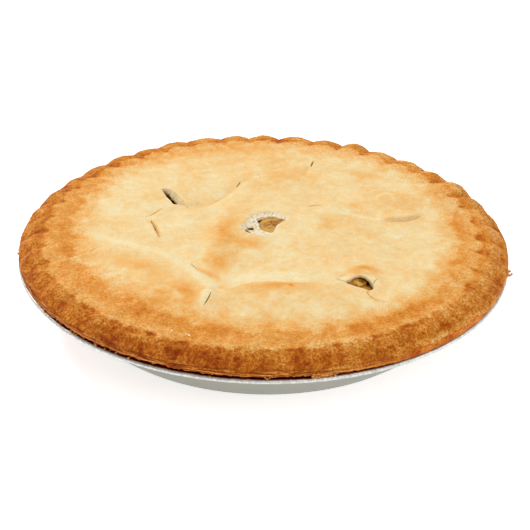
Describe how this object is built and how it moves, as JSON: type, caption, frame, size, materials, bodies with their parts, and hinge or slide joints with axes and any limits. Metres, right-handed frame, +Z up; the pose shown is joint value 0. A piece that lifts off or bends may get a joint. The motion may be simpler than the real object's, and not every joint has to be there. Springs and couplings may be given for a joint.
{
  "type": "apple pie in a foil tin",
  "caption": "Whole baked apple pie with a fluted golden edge and a vented pastry lid, in the shallow foil tin that holds it",
  "frame": {"origin": "centre of the tin's flat base, on the surface that the pie rests on", "axes": "+Z up through the middle of the lid; -Y is the side that faces the viewer and +X is to the viewer's right"},
  "size_m": [0.241, 0.241, 0.0415],
  "materials": {
    "foil": "satin",
    "baked_pastry": "matte",
    "apple_filling": "gloss"
  },
  "bodies": {
    "root": {"pie_tin": "foil", "pastry_crust": "baked_pastry", "apple_filling": "apple_filling"}
  },
  "joints": []
}
